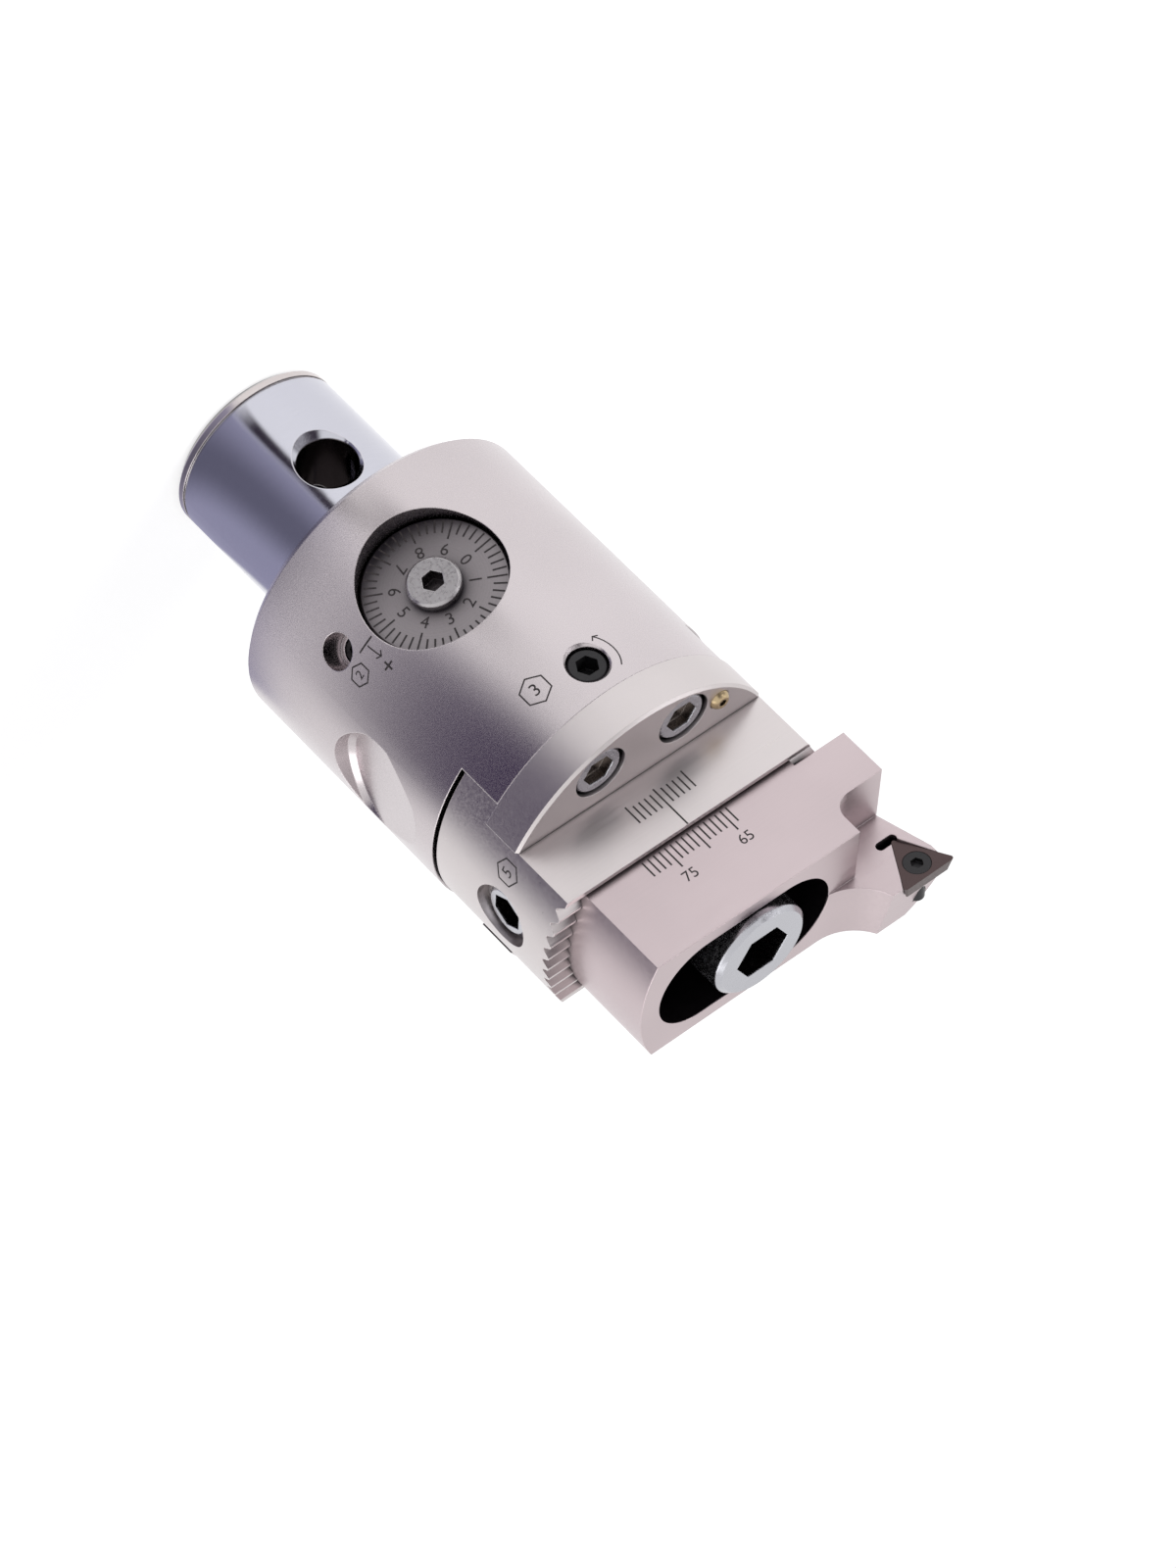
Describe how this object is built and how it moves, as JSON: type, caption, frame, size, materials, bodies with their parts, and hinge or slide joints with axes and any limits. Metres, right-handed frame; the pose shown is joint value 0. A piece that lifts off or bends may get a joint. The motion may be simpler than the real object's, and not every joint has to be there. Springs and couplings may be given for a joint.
{
  "type": "fine boring head",
  "caption": "Precision boring head with a straight shank, graduated fine-adjustment dial, clamped serrated insert holder and triangular cutting insert.",
  "frame": {"origin": "centre of the shoulder face, where the shank meets the body, on the spindle axis", "axes": "+Z along the spindle axis towards the cutting end, -X towards the insert's cutting corner, -Y side carries the dial"},
  "size_m": [0.056, 0.05, 0.1187],
  "materials": {
    "nickel_body": "satin nickel plating",
    "nickel_holder": "satin nickel plating, slightly pink",
    "dial_satin": "satin face with dark engraved graduations",
    "bright_steel": "turned and polished steel",
    "black_oxide": "blackened steel",
    "spring_steel": "plain ground steel",
    "coated_carbide": "brown wear coating",
    "brass": "plain",
    "seal_rubber": "matt"
  },
  "bodies": {
    "head": {"head_body": "nickel_body", "guide_plate_dial_side": "nickel_body", "guide_plate_far_side": "nickel_body", "plate_screw_1": "bright_steel", "plate_screw_2": "bright_steel", "plate_screw_3": "bright_steel", "plate_screw_4": "bright_steel", "spindle_retainer": "spring_steel", "spring_washer": "spring_steel", "thrust_washer": "brass", "brake_screw": "black_oxide"},
    "nozzle": {"coolant_nozzle": "brass"},
    "dial": {"adjusting_spindle": "bright_steel", "graduated_dial": "dial_satin", "dial_seal": "seal_rubber"},
    "wedge": {"wedge_pin": "spring_steel"},
    "slide": {"t_slide": "nickel_body", "end_plug": "bright_steel"},
    "holder": {"insert_holder": "nickel_holder", "cutting_insert": "coated_carbide", "insert_screw": "black_oxide"},
    "clamp_ring": {"clamp_washer": "spring_steel"},
    "clamp_bolt": {"clamp_screw": "bright_steel"},
    "lock_plug": {"lock_pad": "brass"},
    "lock_bolt": {"lock_screw": "black_oxide"}
  },
  "joints": [
    {"name": "dial_turn", "type": "hinge", "parent": "head", "child": "dial", "pos_m": [0, 0, 0.0188], "axis": [0.2723, -0.9622, 0], "range_deg": [-2881, 2881]},
    {"name": "wedge_slide", "type": "slide", "parent": "head", "child": "wedge", "axis": [-0.2723, 0.9622, 0], "range_m": [-0.00401, 0.00401]},
    {"name": "fine_slide", "type": "slide", "parent": "head", "child": "slide", "axis": [-1, 0, 0], "range_m": [-0.0004, 0.0004]},
    {"name": "coarse_slide", "type": "slide", "parent": "slide", "child": "holder", "axis": [-1, 0, 0], "range_m": [-0.0035, 0.0085]},
    {"name": "clamp_lift", "type": "slide", "parent": "slide", "child": "clamp_ring", "axis": [0, 0, 1], "range_m": [0, 0.0015]},
    {"name": "clamp_turn", "type": "hinge", "parent": "clamp_ring", "child": "clamp_bolt", "pos_m": [0.0003, 0, 0.0738], "axis": [0, 0, 1], "range_deg": [0, 361]},
    {"name": "lock_slide", "type": "slide", "parent": "head", "child": "lock_plug", "axis": [0, -1, 0], "range_m": [0, 0.001]},
    {"name": "lock_turn", "type": "hinge", "parent": "lock_plug", "child": "lock_bolt", "pos_m": [0, -0.02, 0.0446], "axis": [0, -1, 0], "range_deg": [0, 361]},
    {"name": "nozzle_tilt", "type": "hinge", "parent": "head", "child": "nozzle", "pos_m": [-0.014, -0.0175, 0.05605], "axis": [0.7809, -0.6247, 0], "range_deg": [-10, 10]}
  ],
  "couplings": [
    {"joint": "dial_turn", "follows": "fine_slide", "rad_per_m": 125660},
    {"joint": "wedge_slide", "follows": "fine_slide", "ratio": 10},
    {"joint": "clamp_turn", "follows": "clamp_lift", "rad_per_m": 4188.8},
    {"joint": "lock_turn", "follows": "lock_slide", "rad_per_m": 6283.2}
  ]
}
